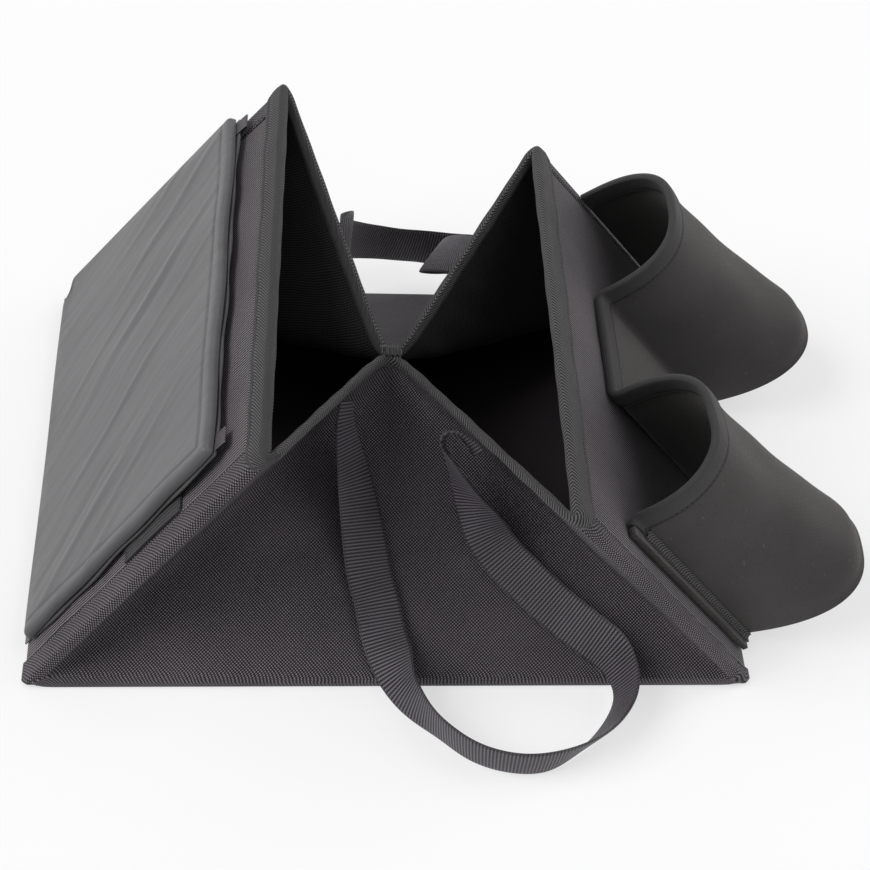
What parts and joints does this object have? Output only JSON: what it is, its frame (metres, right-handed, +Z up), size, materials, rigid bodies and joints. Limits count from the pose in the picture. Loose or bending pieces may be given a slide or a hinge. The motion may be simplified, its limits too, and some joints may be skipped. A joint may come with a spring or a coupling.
{
  "type": "car organizer",
  "caption": "Collapsible soft-sided car organizer with boarded walls leaning in, pinched gussets, webbing handles, a padded side flap and neoprene cup pockets.",
  "frame": {"origin": "middle of the base's underside, on the floor", "axes": "+Z up out of the base, +X towards the cup pockets along the base's long side, +Y towards the back gusset"},
  "size_m": [0.4674, 0.4104, 0.1663],
  "materials": {
    "canvas": "ribbed polyester, matte",
    "lining": "thin polyester, matte",
    "board": "stiff plastic sheet",
    "twill": "twill binding tape",
    "webbing": "ribbed webbing",
    "neoprene": "knit-faced neoprene, matte",
    "elastic": "ribbed elastic tape",
    "nylon": "smooth coated nylon, slight sheen",
    "thread": "sewing thread",
    "hook_and_loop": "hook and loop pile"
  },
  "bodies": {
    "bag": {"base_cover": "canvas", "base_board": "board", "base_lining": "lining", "left_wall_cover": "canvas", "left_wall_board": "board", "left_wall_lining": "lining", "left_hinge_cloth": "canvas", "left_rim_tape": "twill", "right_wall_cover": "canvas", "right_wall_board": "board", "right_wall_lining": "lining", "right_hinge_cloth": "canvas", "right_rim_tape": "twill", "front_gusset": "canvas", "front_rim_tape": "twill", "back_gusset": "canvas", "back_rim_tape": "twill", "centre_tack": "thread", "front_handle": "webbing", "back_handle": "webbing", "cup_sleeve": "neoprene", "cup_rim_tape": "elastic", "front_cup_bottom": "neoprene", "rear_cup_bottom": "neoprene", "cup_seam_tape": "twill", "wall_loop_strip": "hook_and_loop", "flap_hinge_cloth": "nylon", "elastic_tab": "elastic"},
    "side_flap": {"flap_cover": "nylon", "flap_board": "board", "flap_backing": "lining", "flap_hook_strip": "hook_and_loop", "front_flap_tab": "nylon", "back_flap_tab": "nylon"}
  },
  "joints": [
    {"name": "flap_hinge", "type": "hinge", "parent": "bag", "child": "side_flap", "pos_m": [-0.20004, 0.01183, 0.01244], "axis": [0, -1, 0], "range_deg": [0, 125]}
  ]
}
